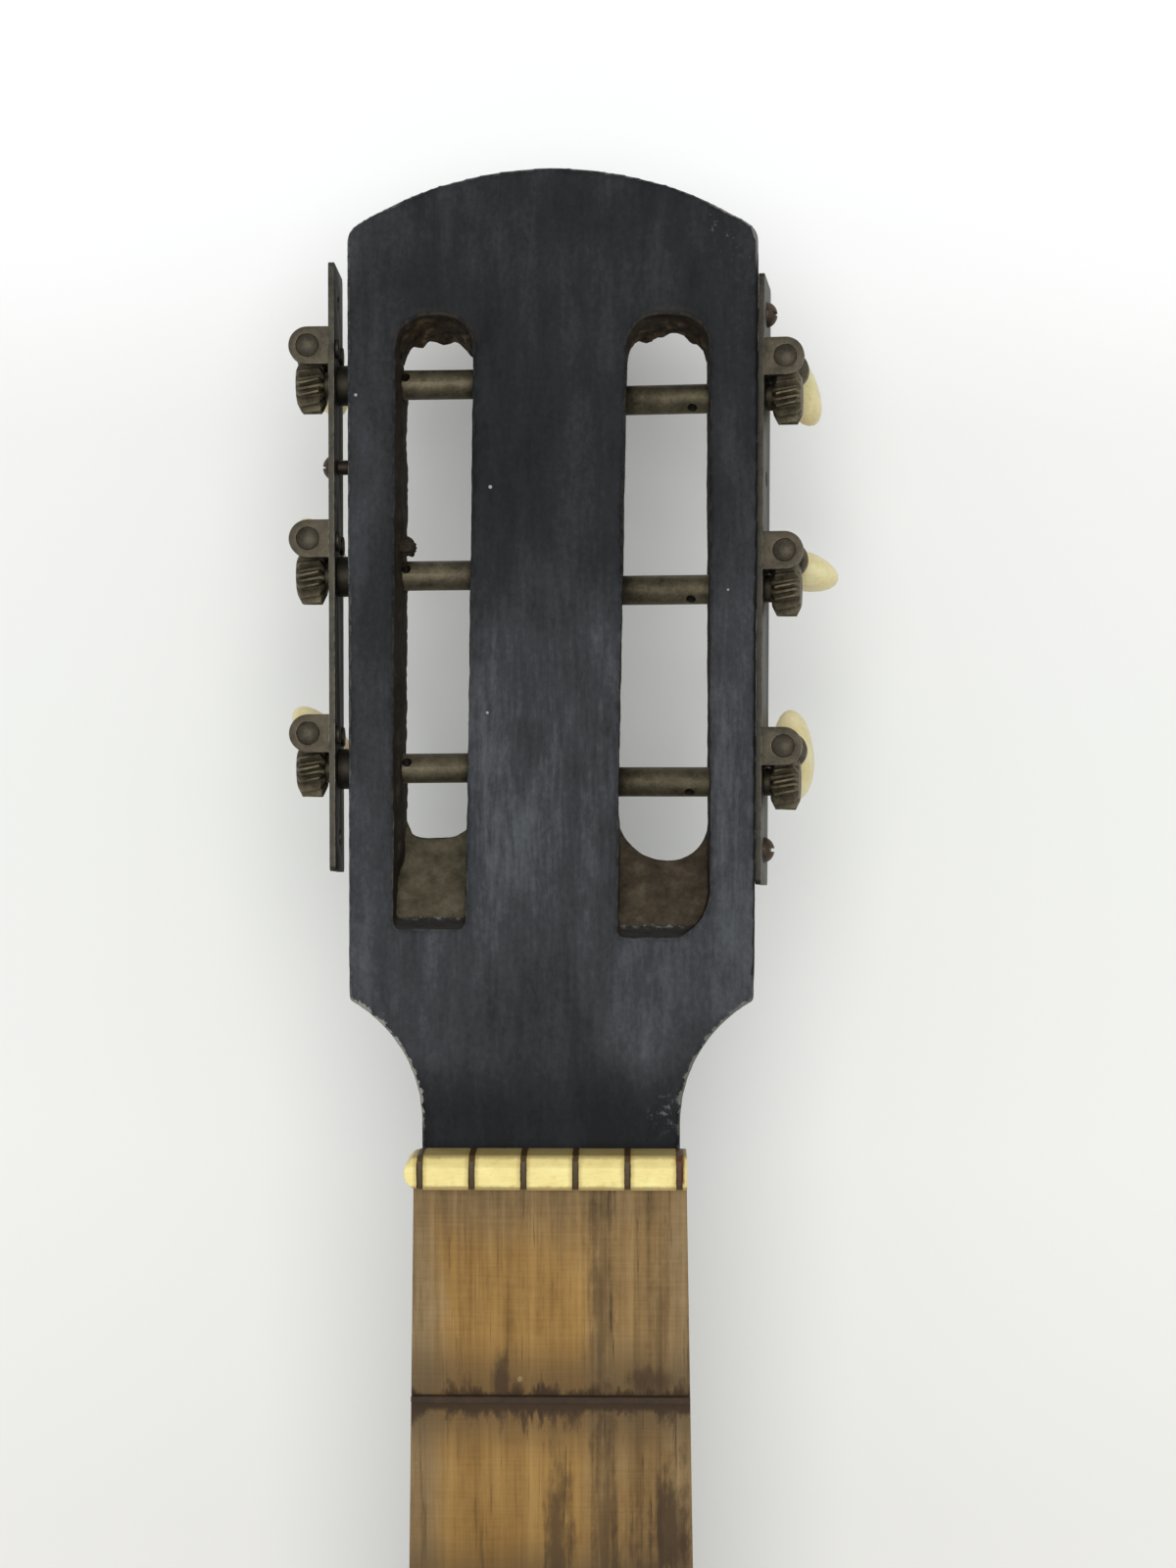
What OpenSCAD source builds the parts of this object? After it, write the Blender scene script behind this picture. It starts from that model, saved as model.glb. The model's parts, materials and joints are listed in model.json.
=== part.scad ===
// Guitar neck with a slotted head and two strips of three worm-geared string rollers.
// X runs across the neck, +Y points to the tip of the head, +Z rises out of the fingerboard.
// The origin is the middle of the top edge of the heel's joint face.

/* [Neck] */
// Length of the vibrating string, which places every fret
scale_length = 652; // [600:1:700]
// Fret at which the neck meets the body
joint_fret = 12; // [11:1:14]
// Fingerboard width at the nut
nut_end_w = 46.3; // [42:0.1:52]
// Fingerboard width at the body joint
joint_end_w = 57.5; // [52:0.1:66]
// Step from the fingerboard's edge in to the side of the neck
board_lip = 1; // [0.4:0.1:2]
// Depth of the shaft under the fingerboard at the nut
shaft_t_nut = 16; // [13:0.5:20]
// Depth of the shaft where the heel starts
shaft_t_heel = 18.5; // [15:0.5:24]
// Squareness of the shaft's rounded back, where 2 is an ellipse
shaft_back = 2.2; // [2:0.1:3]

/* [Heel] */
// Depth of the heel below the fingerboard
heel_depth = 88; // [70:1:105]
// Distance from the body joint to where the heel starts to drop
heel_run = 66; // [50:1:90]
// Length of the heel's foot along the neck
heel_foot_l = 12; // [6:1:20]
// Width of the heel's foot
heel_foot_w = 20; // [14:1:30]
// Hollowness of the heel's flanks, where 1 is straight
heel_flank = 0.95; // [0.8:0.05:1.2]
// Length of the dovetail tenon
tenon_l = 15; // [10:0.5:20]
// Length of the straight part of the tenon, through the body's rib
tenon_straight = 2.5; // [2.2:0.1:4]
// Width of the tenon where it leaves the heel
tenon_root_w = 16; // [12:0.5:18]
// Width of the tenon at its free end
tenon_tip_w = 21; // [18.5:0.5:24]
// Depth of the tenon below the fingerboard
tenon_depth = 60; // [40:1:68]
// Distance from the top of the heel down to the tenon
tenon_drop = 1; // [0.5:0.5:3]
// Share of its width that the tenon keeps at its lower end
tenon_taper = 0.8; // [0.7:0.05:1]

/* [Fingerboard] */
// Thickness of the fingerboard
board_t = 5; // [4:0.1:7]
// Number of frets
fret_count = 18; // [15:1:20]
// Length of the fingerboard past the last fret
board_tail = 7; // [3:0.5:12]
// Width of a bar fret
fret_w = 1.2; // [0.8:0.1:1.8]
// Height of a fret above the fingerboard
fret_rise = 0.9; // [0.5:0.1:1.4]
// Depth of a fret's seat in the fingerboard
fret_seat = 2.2; // [1.5:0.1:3]

/* [Nut] */
// Thickness of the nut along the neck
nut_t = 5.6; // [4.5:0.1:7]
// Height of the nut above the fingerboard
nut_rise = 2.6; // [2:0.1:4]
// Length by which the nut overhangs the fingerboard on the left
nut_over = 1.4; // [0:0.1:2.5]
// Fall of the bevel at the nut's head side
nut_bevel = 1.8; // [1:0.1:2.4]
// Distance between two strings at the nut
string_pitch = 8.75; // [7:0.05:8.9]
// Width of a string groove
groove_w = 1.6; // [0.8:0.1:2.2]
// Depth of a string groove
groove_depth = 0.9; // [0.5:0.1:1.6]

/* [Head] */
// Angle by which the head falls back from the fingerboard
head_angle = 7; // [5:0.5:14]
// Length of the head from the nut to its tip
head_len = 170.2; // [165:0.1:190]
// Width of the head at its shoulders
head_base_w = 69.5; // [67:0.1:76]
// Width of the head at the corners of its arch
head_top_w = 71.9; // [68:0.1:78]
// Thickness of the head
head_t = 15; // [14:0.5:18]
// Rise of the arch at the tip
arch_rise = 11; // [8:0.5:14]
// Rounding where the arch meets the sides
arch_corner_r = 3.5; // [2:0.5:6]
// Distance from the nut to the shoulder corners
shoulder_y = 25.2; // [23:0.1:28]
// Radius of the hollow between shoulder and throat
shoulder_r = 23.9; // [22:0.1:26]
// Distance from the nut over which the rounded neck turns into the flat head
blend_l = 18; // [12:1:20]
// Depth of the joint between head and shaft behind the head's face
scarf_depth = 18; // [17:0.5:22]

/* [Slots] */
// Distance from the centre line to the left slot's inner wall, at its upper end
left_slot_in = 13.8; // [12.5:0.1:15]
// Distance from the centre line to the left slot's inner wall, at its lower end
left_slot_low = 14.7; // [12.5:0.1:15]
// Distance from the centre line to the right slot's inner wall, at its upper end
right_slot_in = 13; // [12.5:0.1:15]
// Distance from the centre line to the right slot's inner wall, at its lower end
right_slot_low = 11.2; // [11:0.1:15]
// Distance from the centre line to the slots' outer walls
slot_out = 27.3; // [26:0.1:28]
// Distance from the nut to the front edge of the left string ramp
left_ramp_y = 37.1; // [34:0.1:40]
// Distance from the nut to the front edge of the right string ramp
right_ramp_y = 35.7; // [34:0.1:40]
// Distance from the nut to the slots' upper ends
slot_end_y = 144.2; // [142:0.1:147]
// Distance from the nut to the lower end of the left slot's open part
left_open_y = 53.4; // [52:0.1:55]
// Distance from the nut to the lower end of the right slot's open part
right_open_y = 49.4; // [48:0.1:51]
// Rounding at the lower end of the left slot's open part
left_open_r = 4.5; // [3:0.1:6]
// Rounding at the lower end of the right slot's open part, on its outer side
right_open_r = 6.8; // [5:0.1:7]
// Rounding at the lower end of the right slot's open part, on its inner side
right_open_in_r = 8.4; // [5:0.1:8.6]
// Length of the steep bank at the front of a string ramp
bank_l = 2.4; // [1.5:0.1:3]
// Depth of the foot of that bank
bank_d = 4; // [2.5:0.1:5]
// Angle of the string ramps behind the bank
ramp_angle = 31; // [29:1:34]
// Rounding at the front corners of the string ramps
ramp_corner_r = 2.2; // [1.5:0.1:3]
// Rounding at the outer front corner of the right ramp
right_foot_r = 9; // [3:0.1:9.5]
// Rounding at the upper ends of the slots
slot_corner_r = 5.5; // [3:0.5:6]

/* [Tuner strips] */
// Distance between two rollers
roller_pitch = 34; // [32:0.5:36]
// Distance from the nut to the left strip's lowest roller
left_strip_y = 65.4; // [63:0.1:68]
// Distance from the nut to the right strip's lowest roller
right_strip_y = 63.1; // [62:0.1:68]
// Distance by which the left strip stands off the head
left_gap = 2.4; // [0:0.1:3]
// Distance by which the right strip's front edge stands off the head
right_gap = 0.1; // [0:0.1:3]
// Outward lean of the left strip's back edge
left_lean = 0; // [0:1:10]
// Outward lean of the right strip's back edge
right_lean = 8; // [0:1:10]
// Thickness of a strip's plate
plate_t = 1; // [0.8:0.1:1.5]
// Width of a strip's plate
plate_w = 13.3; // [12.5:0.1:14.5]
// Length of a plate below its lowest roller
plate_low = 18; // [15:0.5:20]
// Length of a plate above its highest roller
plate_high = 20.7; // [18:0.5:23]
// Rounding of the plates' corners
plate_corner_r = 1; // [0.5:0.5:4]
// Distance from the lowest roller down to the plates' lower screw
low_screw = 11.9; // [10.5:0.1:13]
// Distance from the highest roller up to the plates' upper screw
high_screw = 14.7; // [13:0.1:16]
// Distance from the highest roller down to the plates' middle screw
middle_screw = 14.6; // [10:0.1:16]
// Radius of a plate screw's shank
screw_r = 1.3; // [1:0.1:1.6]
// Length of a plate screw's shank
screw_l = 6.5; // [5.5:0.5:7]
// Radius of a plate screw's head
screw_head_r = 2.3; // [2:0.1:3]
// Height of a plate screw's head
screw_head_h = 1.8; // [1.2:0.1:2.4]

/* [Worm gears] */
// Teeth on a roller's gear
gear_teeth = 14; // [13:1:15]
// Pitch diameter of the gear for each tooth
gear_module = 0.62; // [0.6:0.01:0.64]
// Width of the gear
gear_w = 5; // [4:0.1:5.4]
// Height of a tooth outside its pitch circle
tooth_out = 0.56; // [0.5:0.02:0.58]
// Depth of a tooth inside its pitch circle
tooth_in = 0.7; // [0.68:0.02:0.8]
// Width of the chamfers on the gear's rims
gear_chamfer = 0.8; // [0.5:0.1:1.2]
// Radius of the gear's flat ends
gear_end_r = 3.3; // [2.9:0.1:3.6]
// Pitch radius of the worm
worm_r = 1.56; // [1.5:0.02:1.7]
// Slack between a tooth and the thread, measured along the worm
mesh_slack = 0.25; // [0.2:0.01:0.35]
// Distance from a plate's outer face to the worms' axes
worm_out = 3.7; // [3.6:0.1:4.4]
// Radius of the worms' journals in the brackets
journal_r = 1.95; // [1.6:0.05:2.1]
// Running clearance of journals and bores
run_gap = 0.08; // [0.04:0.01:0.12]
// Radius of the brackets' ears
ear_r = 3.3; // [3:0.1:3.8]
// Thickness of the brackets' ears
ear_t = 1.5; // [1.2:0.1:1.8]
// Thickness of the brackets' bases
base_t = 0.8; // [0.6:0.1:1]
// Radius of the studs that are riveted through the plates
stud_r = 1; // [0.8:0.1:1.2]

/* [Rollers] */
// Radius of a string roller
roller_r = 2.6; // [2.3:0.1:3]
// Depth of the right rollers' inner ends in the middle of the head
socket_depth = 8.5; // [6:0.5:10]
// Radius of a roller's shoulder against its plate
collar_r = 3.6; // [3.2:0.1:4]
// Length of a roller's shoulder
collar_l = 5; // [4:0.5:5.5]
// Radius of a roller's journal in its plate
pivot_r = 2; // [1.7:0.1:2.4]
// Radius of a string hole
string_hole_r = 0.9; // [0.6:0.1:1.2]
// Distance from the left slot's outer wall to the string hole
string_hole_in = 2.2; // [1.8:0.1:4]
// How far the left string holes lean back from facing front
left_hole_turn = -22; // [-60:1:60]
// How far the right string holes lean back from facing front
right_hole_turn = 49; // [-60:1:60]
// Width across the square on which a gear sits
square_w = 3; // [2.4:0.1:3.2]
// Radius of a gear screw's shank
gear_screw_r = 0.8; // [0.6:0.05:1]
// Length of a gear screw's shank
gear_screw_l = 5; // [3:0.5:6]
// Radius of a gear screw's head
gear_screw_head_r = 2.2; // [1.9:0.1:2.5]

/* [Buttons] */
// Width of a button
button_w = 16.5; // [14:0.5:18]
// Thickness of a button
button_t = 7.4; // [6:0.2:8.4]
// Length of a button along its shaft
button_l = 12.5; // [11:0.5:15]
// Gap between the brackets and the buttons
button_gap = 4.5; // [3.5:0.5:7]
// Radius of the shafts inside the buttons
shaft_r = 1.4; // [1.1:0.1:1.7]
// Turn of the left buttons from the head's length, from the lowest up
left_button_turn = [40, 30, 20]; // [-180:5:180]
// Turn of the right buttons from the head's length, from the lowest up
right_button_turn = [5, -105, 25]; // [-180:5:180]

/* [Hidden] */
$fn = 32;
fit = 0.02;
seam = 0.1;
far = 200;

// Places along the neck
nut_y = scale_length * (1 - pow(2, -joint_fret / 12));
head_y = nut_y + nut_t;
board_end_y = fret_y(fret_count) - board_tail;
throat_w = nut_end_w - 2 * board_lip;

// Shape of the head
arch_y = head_len - arch_rise;
arch_r = (pow(head_top_w / 2, 2) + pow(arch_rise, 2)) / (2 * arch_rise);
arch_center_y = head_len - arch_r;
side_lean = atan((head_top_w - head_base_w) / 2 / (arch_y - shoulder_y));
hollow_x = throat_w / 2 + shoulder_r;
hollow_y = shoulder_y - sqrt(pow(shoulder_r, 2) - pow(hollow_x - head_base_w / 2, 2));
ramp_run = bank_l + (head_t - bank_d) / tan(ramp_angle);
head_start = blend_l - 3 * seam;
foot_gap = 0.6;

// Gear pair: the worm lies towards the tip of the head from its roller
worm_pitch = PI * gear_module;
gear_r = gear_teeth * gear_module / 2;
center_distance = gear_r + worm_r;
tooth_t = worm_pitch / 2 - mesh_slack;
flank = tan(20);
tooth_twist = worm_pitch / (2 * PI * worm_r) / gear_r * 180 / PI;

// Layout of a strip, seen in its own frame: x leaves the head, y runs along it, z rises through it
roller_z = -head_t / 2;
ear_in = plate_w / 2 - ear_t;
thrust_gap = 0.12;
worm_end = ear_in - thrust_gap;
worm_collar = 0.7;
worm_collar_r = worm_r + tooth_out;
gear_x = worm_out - gear_w / 2;
hub_r = 2.4;
square_x = gear_x + gear_w - gear_screw_head_r + gear_screw_r - fit;
cheek = head_base_w / 2 - slot_out;
roller_l = head_base_w / 2 - right_slot_in + socket_depth;
string_hole_x = cheek + left_gap + string_hole_in;
stud_z = ear_in / 2 + 0.8;
stud_head_r = stud_r + 0.7;
stud_head_h = 0.5;
button_top = -plate_w / 2 - button_gap;
button_socket = 8;

// Names of the six machines, and of what each one is made of
SIDES = ["left", "right"];
PLACES = ["lower", "middle", "upper"];
KINDS = ["bracket", "worm", "button", "gear", "gear_screw", "roller"];

function fret_y(i) = nut_y - scale_length * (1 - pow(2, -i / 12));
function board_w(y) = nut_end_w + (joint_end_w - nut_end_w) * (nut_y - y) / nut_y;
function mix(a, b, f) = a + (b - a) * f;

// A side's own value of a pair of left and right ones
function of_side(s, left, right) = s < 0 ? left : right;
function roller_y(s, i) = of_side(s, left_strip_y, right_strip_y) - shoulder_y + i * roller_pitch;
function screw_y(s, which) = which == "low" ? roller_y(s, 0) - low_screw
    : which == "middle" ? roller_y(s, 2) - middle_screw
    : roller_y(s, 2) + high_screw;

// Half width of the throat's hollow at a distance from the nut
function throat_x(y) = y <= hollow_y ? throat_w / 2
    : hollow_x - sqrt(pow(shoulder_r, 2) - pow(y - hollow_y, 2));

// Section of the neck at a place along it: flat on top, rounded below, with a foot where it has one
function section(y, half_w, depth, back, foot_w) = [
    for (t = [0 : 7.5 : 180])
        let (c = cos(t), reach = pow(abs(c), 2 / back), side = abs(c) < 0.001 ? 0 : sign(c))
        [side * (foot_w / 2 + (half_w - foot_w / 2) * reach), y, -depth * pow(sin(t), 2 / back)]
];

// Section of the shaft or of the heel, where drop runs from 0 at the shaft to 90 at the foot
function heel_section(y, drop) = let (f = 1 - cos(drop)) section(
    y,
    board_w(y) / 2 - board_lip,
    mix(shaft_t_heel, heel_depth, f),
    mix(shaft_back, heel_flank, pow(f, 0.7)),
    heel_foot_w * f
);

// A rectangular section with as many points as a rounded one
function flat_section(y, half_w, depth) = [
    for (k = [0 : 24])
        let (across = max(-1, min(1, (12 - k) / 7)), down = min(1, min(k, 24 - k) / 5))
        [half_w * across, y, -depth * down]
];

// A section of the throat, which turns from the shaft's rounded one into the head's flat one
function throat_section(f) = let (y = blend_l * f, depth = mix(shaft_t_nut, head_t, f), x = throat_x(y)) mix(
    section(y, x, depth, shaft_back, 0),
    flat_section(y, x - seam * f, depth - seam * f),
    f * f
);

// A ring of points, moved from the head's frame into the neck's
function from_head(ring) = [
    for (p = ring) [
        p[0],
        head_y + p[1] * cos(head_angle) + p[2] * sin(head_angle),
        p[2] * cos(head_angle) - p[1] * sin(head_angle)
    ]
];

// A closed skin over rings of equal length, which turn right-handed about the way from first to last
module loft(rings) {
    n = len(rings[0]);
    last = len(rings) - 1;
    walls = [
        for (k = [0 : last - 1], i = [0 : n - 1])
            let (a = k * n + i, b = k * n + (i + 1) % n)
            each [[a, a + n, b + n], [a, b + n, b]]
    ];
    ends = [[for (i = [0 : n - 1]) i], [for (i = [n - 1 : -1 : 0]) last * n + i]];
    polyhedron([for (ring = rings) each ring], concat(ends, walls), convexity = 6);
}

// Frame of the head: y from the nut to the tip, z out of its face
module in_head() {
    translate([0, head_y, 0]) rotate([-head_angle, 0, 0]) children();
}

module flipped(s) {
    mirror([s < 0 ? 1 : 0, 0, 0]) children();
}

// Frame of a side of the head, with its origin on the shoulder corner at the rollers' depth
module on_side(s) {
    in_head()
    translate([s * head_base_w / 2, shoulder_y, roller_z + plate_w / 2])
    rotate([0, 0, -s * side_lean])
    flipped(s)
    rotate([0, -of_side(s, left_lean, right_lean), 0])
    translate([of_side(s, left_gap, right_gap), 0, -plate_w / 2])
    children();
}

// Frame of one machine: x along its roller, from the plate's outer face outwards
module at_machine(s, i) {
    on_side(s) translate([plate_t, roller_y(s, i), 0]) children();
}

// A rod along x, from one place to another
module rod(x0, x1, r) {
    translate([x0, 0, 0]) rotate([0, 90, 0]) cylinder(h = x1 - x0, r = r);
}

// Points of an arc round a center
function arc(center, r, from, to, steps) = [
    for (k = [0 : steps]) let (a = mix(from, to, k / steps)) center + r * [cos(a), sin(a)]
];

// An outline of width w from y = 0 to y = l, rounded at its far end
module round_end(w, l, r) {
    polygon(concat(
        [[-w / 2, 0], [w / 2, 0]],
        arc([w / 2 - r, l - r], r, 0, 90, 6),
        arc([r - w / 2, l - r], r, 90, 180, 6)
    ));
}

// A slot's outline from its lower to its upper end, whose inner wall may lean
module slot_plan(low, high, inner_low, inner_high, outer, outer_r, inner_r, top_r) {
    polygon(concat(
        arc([outer - outer_r, low + outer_r], outer_r, -90, 0, 6),
        arc([outer - top_r, high - top_r], top_r, 0, 90, 6),
        arc([inner_high + top_r, high - top_r], top_r, 90, 180, 6),
        arc([inner_low + inner_r, low + inner_r], inner_r, 180, 270, 6)
    ));
}

// The head from the throat to the tip: two hollows, two sides and an arch with rounded corners
module head_outline() {
    along = [sin(side_lean), cos(side_lean)];
    inward = [-cos(side_lean), sin(side_lean)];
    start = [head_top_w / 2, arch_y] + arch_corner_r * inward;
    q = start - [0, arch_center_y];
    rise = sqrt(pow(q * along, 2) - q * q + pow(arch_r - arch_corner_r, 2)) - q * along;
    corner = start + rise * along;
    corner_end = atan2(corner[1] - arch_center_y, corner[0]);
    hollow_start = 180 - asin((head_start - hollow_y) / shoulder_r);
    hollow_end = 180 - asin((shoulder_y - hollow_y) / shoulder_r);
    half = concat(
        arc([hollow_x, hollow_y], shoulder_r, hollow_start, hollow_end, 6),
        arc(corner, arch_corner_r, -side_lean, corner_end, 5),
        arc([0, arch_center_y], arch_r, corner_end, 90, 12)
    );
    polygon(concat(half, [for (k = [len(half) - 2 : -1 : 0]) [-half[k][0], half[k][1]]]));
}

// A string slot, open right through behind its ramp
module slot_cut(s) {
    ramp_y = of_side(s, left_ramp_y, right_ramp_y);
    wall_low = of_side(s, left_slot_low, right_slot_low);
    wall_high = of_side(s, left_slot_in, right_slot_in);
    wall_lean = (wall_high - wall_low) / (slot_end_y - ramp_y);
    open_y = of_side(s, left_open_y, right_open_y);
    open_r = of_side(s, left_open_r, right_open_r);
    open_in = wall_low + wall_lean * (open_y - ramp_y);
    open_in_r = of_side(s, left_open_r, right_open_in_r);
    foot_r = of_side(s, ramp_corner_r, right_foot_r);
    over = 2;
    ramp_end = ramp_y + ramp_run + over / tan(ramp_angle);
    trough_end = ramp_end + 2 * over;
    trough_in = wall_low + wall_lean * (trough_end - ramp_y) + 2 * seam;
    profile = [
        [ramp_y - over * bank_l / bank_d, over],
        [ramp_y + bank_l, -bank_d],
        [ramp_end, -head_t - over],
        [ramp_end + over, -head_t - over],
        [ramp_end + over, over]
    ];
    translate([0, 0, -head_t - over / 2]) linear_extrude(head_t + over)
        slot_plan(open_y, slot_end_y, open_in, wall_high, slot_out, open_r, open_in_r, slot_corner_r);
    intersection() {
        translate([0, 0, -head_t - over / 2]) linear_extrude(head_t + over)
            slot_plan(ramp_y - foot_gap, trough_end, wall_low + 2 * seam, trough_in, slot_out - seam,
                foot_r, ramp_corner_r, over);
        rotate([90, 0, 90]) linear_extrude(head_base_w) polygon(profile);
    }
}

// What the tuners of one side take out of the wood
module side_cuts(s) {
    lean_room = plate_w * sin(of_side(s, left_lean, right_lean)) + of_side(s, left_gap, right_gap);
    on_side(s) {
        for (i = [0 : 2]) translate([0, roller_y(s, i), 0]) {
            rod(-roller_l - 0.5, 0, roller_r + run_gap);
            rod(-collar_l - run_gap, lean_room + plate_t, collar_r + 2 * run_gap);
            for (z = [-stud_z, stud_z]) translate([0, center_distance, z])
                rod(-stud_head_h - 2 * run_gap, lean_room + plate_t, stud_head_r + run_gap);
        }
        for (which = of_side(s, ["middle"], ["low", "high"])) translate([0, screw_y(s, which), 0])
            rod(-screw_l - 0.3, lean_room + plate_t, screw_r + fit);
    }
}

// The wedge of the neck under the fingerboard that belongs to the head
module head_tongue() {
    in_head() translate([-far / 2, -2 * far, -scarf_depth]) cube([far, 3 * far, far]);
}

// Heel, shaft and throat in one piece, before the head is scarfed on
module neck_blank() {
    heel = [for (drop = [90 : -10 : 0]) heel_section(heel_run - (heel_run - heel_foot_l) * sin(drop), drop)];
    shaft_end = section(nut_y, throat_w / 2, shaft_t_nut, shaft_back, 0);
    throat = [for (k = [0 : 5]) from_head(throat_section(k / 6))];
    inside_head = from_head([for (p = throat_section(1)) p - [0, 0, seam / 2]]);
    loft(concat([heel_section(0, 90)], heel, [shaft_end], throat, [inside_head]));
}

// A tapered block of the tenon between two distances from the heel, given its width at each
module tenon_block(from, from_w, to, to_w) {
    outline = [[-to_w, -to], [to_w, -to], [from_w, -from], [-from_w, -from]];
    loft([for (level = [[-tenon_depth, tenon_taper], [-tenon_drop, 1]])
        [for (p = outline) [p[0] / 2 * level[1], p[1], level[0]]]]);
}

// The dovetail: straight through the rib, from a little way inside the heel, then flared
module tenon() {
    reach = 1;
    flare = (tenon_tip_w - tenon_root_w) / (tenon_l - tenon_straight);
    tenon_block(-reach, tenon_root_w, tenon_straight + reach, tenon_root_w);
    tenon_block(tenon_straight - reach, tenon_root_w - flare * reach, tenon_l, tenon_tip_w);
}

module headstock() {
    color([0.13, 0.13, 0.15]) difference() {
        union() {
            in_head() translate([0, 0, -head_t]) linear_extrude(head_t) head_outline();
            intersection() {
                neck_blank();
                head_tongue();
            }
        }
        in_head() slot_cut(1);
        in_head() mirror([1, 0, 0]) slot_cut(-1);
        side_cuts(-1);
        side_cuts(1);
    }
}

module neck_shaft() {
    color([0.17, 0.14, 0.12]) union() {
        difference() {
            neck_blank();
            head_tongue();
        }
        tenon();
    }
}

module fret_bar(i, bottom, top, w) {
    translate([-w / 2, fret_y(i) - fret_w / 2, bottom]) cube([w, fret_w, top - bottom]);
}

module fingerboard() {
    color([0.55, 0.41, 0.27]) difference() {
        linear_extrude(board_t) polygon([
            for (side = [-1, 1], y = side < 0 ? [board_end_y, nut_y] : [nut_y, board_end_y])
                [side * board_w(y) / 2, y]
        ]);
        for (i = [1 : fret_count]) fret_bar(i, board_t - fret_seat, board_t + 1, far);
    }
}

module frets() {
    color([0.34, 0.29, 0.2])
        for (i = [1 : fret_count]) fret_bar(i, board_t - fret_seat, board_t + fret_rise, board_w(fret_y(i)));
}

module nut() {
    top = board_t + nut_rise;
    left = -nut_end_w / 2 - nut_over;
    right = nut_end_w / 2;
    color([0.9, 0.86, 0.6]) difference() {
        intersection() {
            translate([left, nut_y, 0]) rotate([90, 0, 90]) linear_extrude(right - left)
                polygon([[0, 0], [nut_t, 0], [nut_t, top - nut_bevel], [nut_t - nut_bevel, top], [0, top]]);
            union() {
                translate([left + nut_t / 2, nut_y, 0]) cube([right - left, nut_t, 2 * top]);
                translate([left + nut_t / 2, nut_y + nut_t / 2, 0]) cylinder(h = 2 * top, r = nut_t / 2);
            }
        }
        for (k = [-2.5 : 2.5]) translate([k * string_pitch - groove_w / 2, nut_y - 1, top - groove_depth])
            cube([groove_w, nut_t + 2, 2 * groove_depth]);
    }
}

module plate(s) {
    low = roller_y(s, 0) - plate_low;
    length = plate_low + 2 * roller_pitch + plate_high;
    color([0.36, 0.33, 0.27]) on_side(s) difference() {
        translate([0, low + length / 2, 0]) rotate([90, 0, 90]) linear_extrude(plate_t)
            for (end = [0, 180]) rotate(end + 90) round_end(plate_w, length / 2, plate_corner_r);
        for (i = [0 : 2]) translate([0, roller_y(s, i), 0]) {
            rod(-1, plate_t + 1, pivot_r + run_gap);
            for (z = [-stud_z, stud_z]) translate([0, center_distance, z]) rod(-1, plate_t + 1, stud_r + fit);
        }
        for (which = ["low", "middle", "high"]) translate([0, screw_y(s, which), 0])
            rod(-1, plate_t + 1, screw_r + run_gap);
    }
}

// A round-headed wood screw with a slot, seated on a plate
module plate_screw(s, which) {
    ball_r = (pow(screw_head_r, 2) + pow(screw_head_h, 2)) / (2 * screw_head_h);
    on_side(s) translate([plate_t, screw_y(s, which), 0]) {
        rod(-plate_t - screw_l, 0.1, screw_r);
        difference() {
            intersection() {
                translate([screw_head_h - ball_r, 0, 0]) sphere(ball_r);
                rod(0, screw_head_h + 1, screw_head_r + 1);
            }
            translate([screw_head_h * 0.6, -0.3, -screw_head_r - 1])
                cube([screw_head_h, 0.6, 2 * screw_head_r + 2]);
        }
    }
}

module left_plate() {
    plate(-1);
}

module right_plate() {
    plate(1);
}

module left_plate_screw() {
    color([0.3, 0.27, 0.22]) plate_screw(-1, "middle");
}

module right_plate_screws() {
    color([0.3, 0.27, 0.22]) for (which = ["low", "high"]) plate_screw(1, which);
}

// A bent bracket: a base on the plate, two ears round the worm, and two studs riveted through the plate
module bracket(s, i) {
    color([0.38, 0.35, 0.28]) at_machine(s, i) translate([0, center_distance, 0]) difference() {
        union() {
            translate([0, -ear_r, -plate_w / 2]) cube([base_t, 2 * ear_r, plate_w]);
            for (z = [-plate_w / 2, ear_in]) translate([0, 0, z]) {
                translate([0, -ear_r, 0]) cube([worm_out, 2 * ear_r, ear_t]);
                translate([worm_out, 0, 0]) cylinder(h = ear_t, r = ear_r);
            }
            for (z = [-stud_z, stud_z]) translate([0, 0, z]) {
                rod(-plate_t - 0.1, base_t / 2, stud_r);
                rod(-plate_t - stud_head_h, -plate_t, stud_head_r);
            }
        }
        translate([worm_out, 0, -plate_w]) cylinder(h = 2 * plate_w, r = journal_r + run_gap);
    }
}

// One ridge that winds left-handed round z, centred between two teeth of the gear at z = 0
module thread() {
    sides = 16;
    half_turns = ceil(sides * (worm_end - worm_collar + 0.1) / worm_pitch);
    tip_t = tooth_t / 2 - tooth_out * flank;
    root_t = tooth_t / 2 + tooth_in * flank;
    tip = worm_r + tooth_out - 0.02;
    root = worm_r - tooth_in - 0.15;
    loft([for (k = [-half_turns : half_turns])
        let (turn = k / sides, a = 360 * turn - 90, z = -worm_pitch * turn, c = cos(a), d = sin(a))
        [[root * c, root * d, z + root_t], [tip * c, tip * d, z + tip_t],
            [tip * c, tip * d, z - tip_t], [root * c, root * d, z - root_t]]]);
}

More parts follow.
